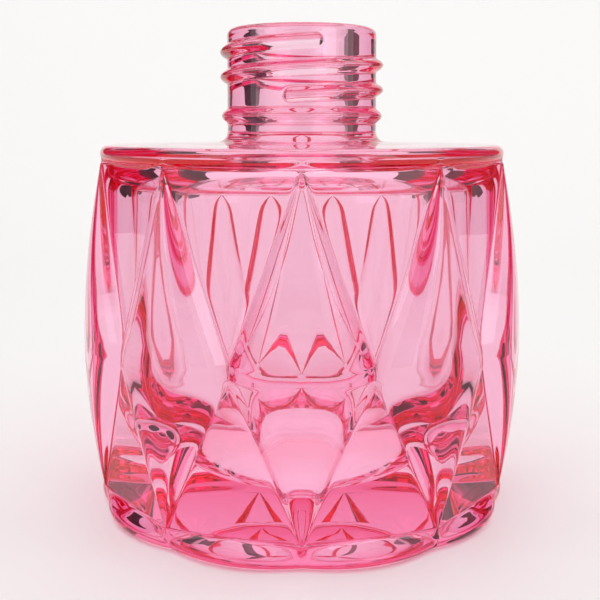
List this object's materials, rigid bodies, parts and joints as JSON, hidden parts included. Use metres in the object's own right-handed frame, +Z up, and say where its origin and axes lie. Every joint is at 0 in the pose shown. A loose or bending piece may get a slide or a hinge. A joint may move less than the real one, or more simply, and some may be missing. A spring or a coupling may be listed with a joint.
{
  "type": "glass bottle",
  "caption": "Heavy-based clear glass bottle with a ring of raised diamond facets and an open neck with an outside screw ridge.",
  "frame": {"origin": "centre of the base at the level of the surface that the bottle stands on", "axes": "+Z up along the bottle's axis, towards the mouth; one diamond faces -Y"},
  "size_m": [0.0722, 0.0726, 0.0784],
  "materials": {
    "pink_glass": "transparent pink pressed glass, smooth and glossy"
  },
  "bodies": {
    "root": {"glass_bottle": "pink_glass"}
  },
  "joints": []
}
